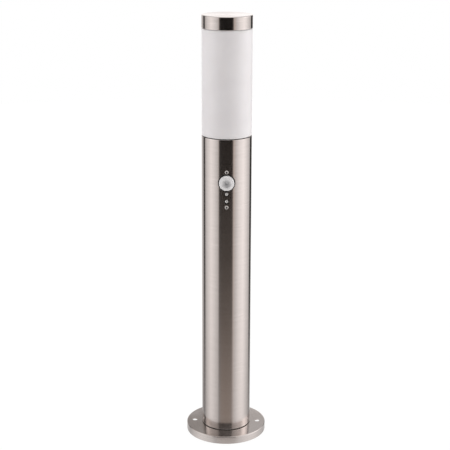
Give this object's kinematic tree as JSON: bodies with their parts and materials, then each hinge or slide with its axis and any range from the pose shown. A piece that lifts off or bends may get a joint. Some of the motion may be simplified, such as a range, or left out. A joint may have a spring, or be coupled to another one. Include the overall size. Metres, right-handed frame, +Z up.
{
  "type": "bollard light",
  "caption": "Round brushed steel bollard light on a flanged base, with a motion sensor in its tube and an opal cylinder head under a steel cap.",
  "frame": {"origin": "centre of the base's underside, on the ground", "axes": "+Z up along the tube's axis, -Y out of the tube's front through the motion sensor, +X to the right seen from the front"},
  "size_m": [0.125, 0.125, 0.6615],
  "materials": {
    "brushed_steel": "stainless steel, fine brush lines around the tube",
    "zinc_steel": "zinc-plated steel",
    "bright_steel": "bright stainless steel",
    "brass": "plain brass",
    "opal_plastic": "opal white, satin",
    "lens_plastic": "milky polyethylene",
    "black_plastic": "black, fine grain",
    "white_plastic": "white",
    "grey_plastic": "light grey",
    "blue_plastic": "blue",
    "brown_plastic": "brown",
    "yellow_green": "green and yellow",
    "green_board": "solder mask over glass fibre board",
    "black_rubber": "black",
    "white_rubber": "white silicone"
  },
  "bodies": {
    "post": {"base_plate": "brushed_steel", "cable_grommet": "black_rubber", "foot_seal": "black_rubber", "foot_bracket": "zinc_steel", "foot_screw_left": "zinc_steel", "foot_screw_right": "zinc_steel", "body_tube": "brushed_steel", "terminal_bracket": "zinc_steel", "bracket_screw": "zinc_steel", "terminal_block": "white_plastic", "terminal_screw_1": "brass", "terminal_screw_2": "brass", "terminal_screw_3": "brass", "terminal_screw_4": "brass", "terminal_screw_5": "brass", "terminal_screw_6": "brass", "block_screw_left": "zinc_steel", "block_screw_right": "zinc_steel", "cord_clamp": "black_plastic", "clamp_screw_left": "zinc_steel", "clamp_screw_right": "zinc_steel", "earth_lug": "zinc_steel", "earth_screw": "brass", "sensor_housing": "black_plastic", "sensor_cover": "black_plastic", "sensor_board": "green_board", "pir_detector": "bright_steel", "fresnel_lens": "lens_plastic", "lens_collar": "black_plastic", "relay": "blue_plastic", "capacitor": "black_plastic", "lux_trimmer": "blue_plastic", "time_trimmer": "blue_plastic", "sensor_screw_upper": "bright_steel", "sensor_screw_lower": "bright_steel", "holder_plate": "zinc_steel", "lampholder_body": "white_plastic", "lampholder_sleeve": "brass", "lampholder_contact": "brass", "holder_screw_front": "zinc_steel", "holder_screw_back": "zinc_steel", "live_wire": "brown_plastic", "neutral_wire": "blue_plastic", "earth_wire": "yellow_green", "lamp_live_wire": "black_plastic", "lamp_neutral_wire": "blue_plastic"},
    "head": {"diffuser": "opal_plastic", "head_seal": "black_rubber", "neck_ring": "black_rubber", "cap_seal": "white_rubber", "top_cap": "brushed_steel"},
    "lamp_contact": {"bulb_tip": "zinc_steel"},
    "lamp": {"bulb_insulator": "black_plastic", "bulb_shell": "zinc_steel", "bulb_body": "white_plastic", "bulb_board": "white_plastic", "bulb_globe": "opal_plastic"},
    "lux_adjuster": {"lux_knob": "grey_plastic"},
    "time_adjuster": {"time_knob": "grey_plastic"}
  },
  "joints": [
    {"name": "head_lift", "type": "slide", "parent": "post", "child": "head", "axis": [0, 0, 1], "range_m": [0, 0.18]},
    {"name": "bulb_lift", "type": "slide", "parent": "post", "child": "lamp_contact", "axis": [0, 0, 1], "range_m": [0, 0.0182]},
    {"name": "bulb_turn", "type": "hinge", "parent": "lamp_contact", "child": "lamp", "pos_m": [0, 0, 0.48], "axis": [0, 0, 1], "range_deg": [0, 1800]},
    {"name": "lux_turn", "type": "hinge", "parent": "post", "child": "lux_adjuster", "pos_m": [0, -0.0355, 0.3983], "axis": [0, -1, 0], "range_deg": [-135, 135]},
    {"name": "time_turn", "type": "hinge", "parent": "post", "child": "time_adjuster", "pos_m": [0, -0.0355, 0.3872], "axis": [0, -1, 0], "range_deg": [-135, 135]}
  ],
  "couplings": [
    {"joint": "bulb_lift", "follows": "bulb_turn", "m_per_rad": 0.00057614}
  ]
}
